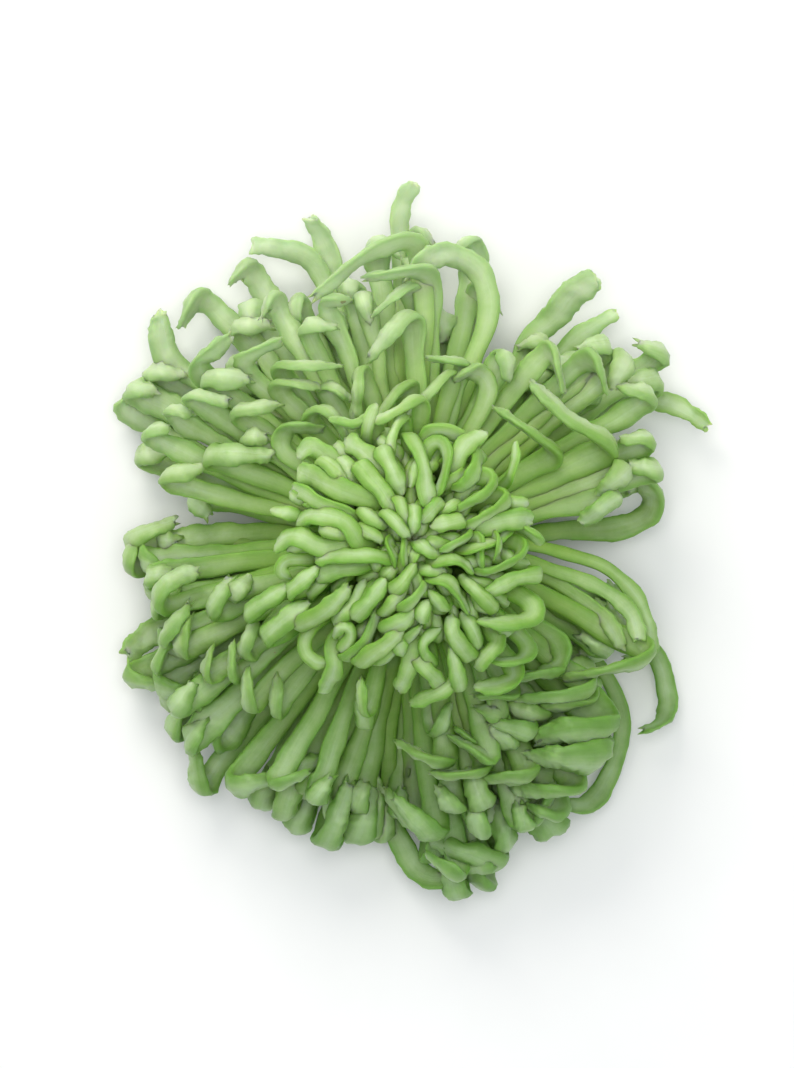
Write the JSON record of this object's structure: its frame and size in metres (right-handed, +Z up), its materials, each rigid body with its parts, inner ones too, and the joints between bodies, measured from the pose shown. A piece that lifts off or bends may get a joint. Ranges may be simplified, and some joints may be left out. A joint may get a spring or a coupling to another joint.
{
  "type": "spider chrysanthemum bloom",
  "caption": "Spider chrysanthemum bloom: long tubular florets hooking inward round a mound of short curled ones, on a scaly cup and cut stalk.",
  "frame": {"origin": "bottom centre of the bloom's box, on the surface that it lies on, under its eye", "axes": "+Z up out of the open face of the bloom, +Y along its longest spread across the face"},
  "size_m": [0.105, 0.1224, 0.0424],
  "materials": {
    "outer_florets": "pale green waxy petal tubes, finely veined lengthwise, translucent",
    "central_florets": "fresh green waxy petal tubes, finely veined lengthwise, translucent",
    "involucre": "mid green matt bracts",
    "stalk": "ribbed matt green stalk, pale pith at the cut"
  },
  "bodies": {
    "root": {"outer_florets": "outer_florets", "central_florets": "central_florets", "involucre": "involucre", "stalk": "stalk"}
  },
  "joints": []
}
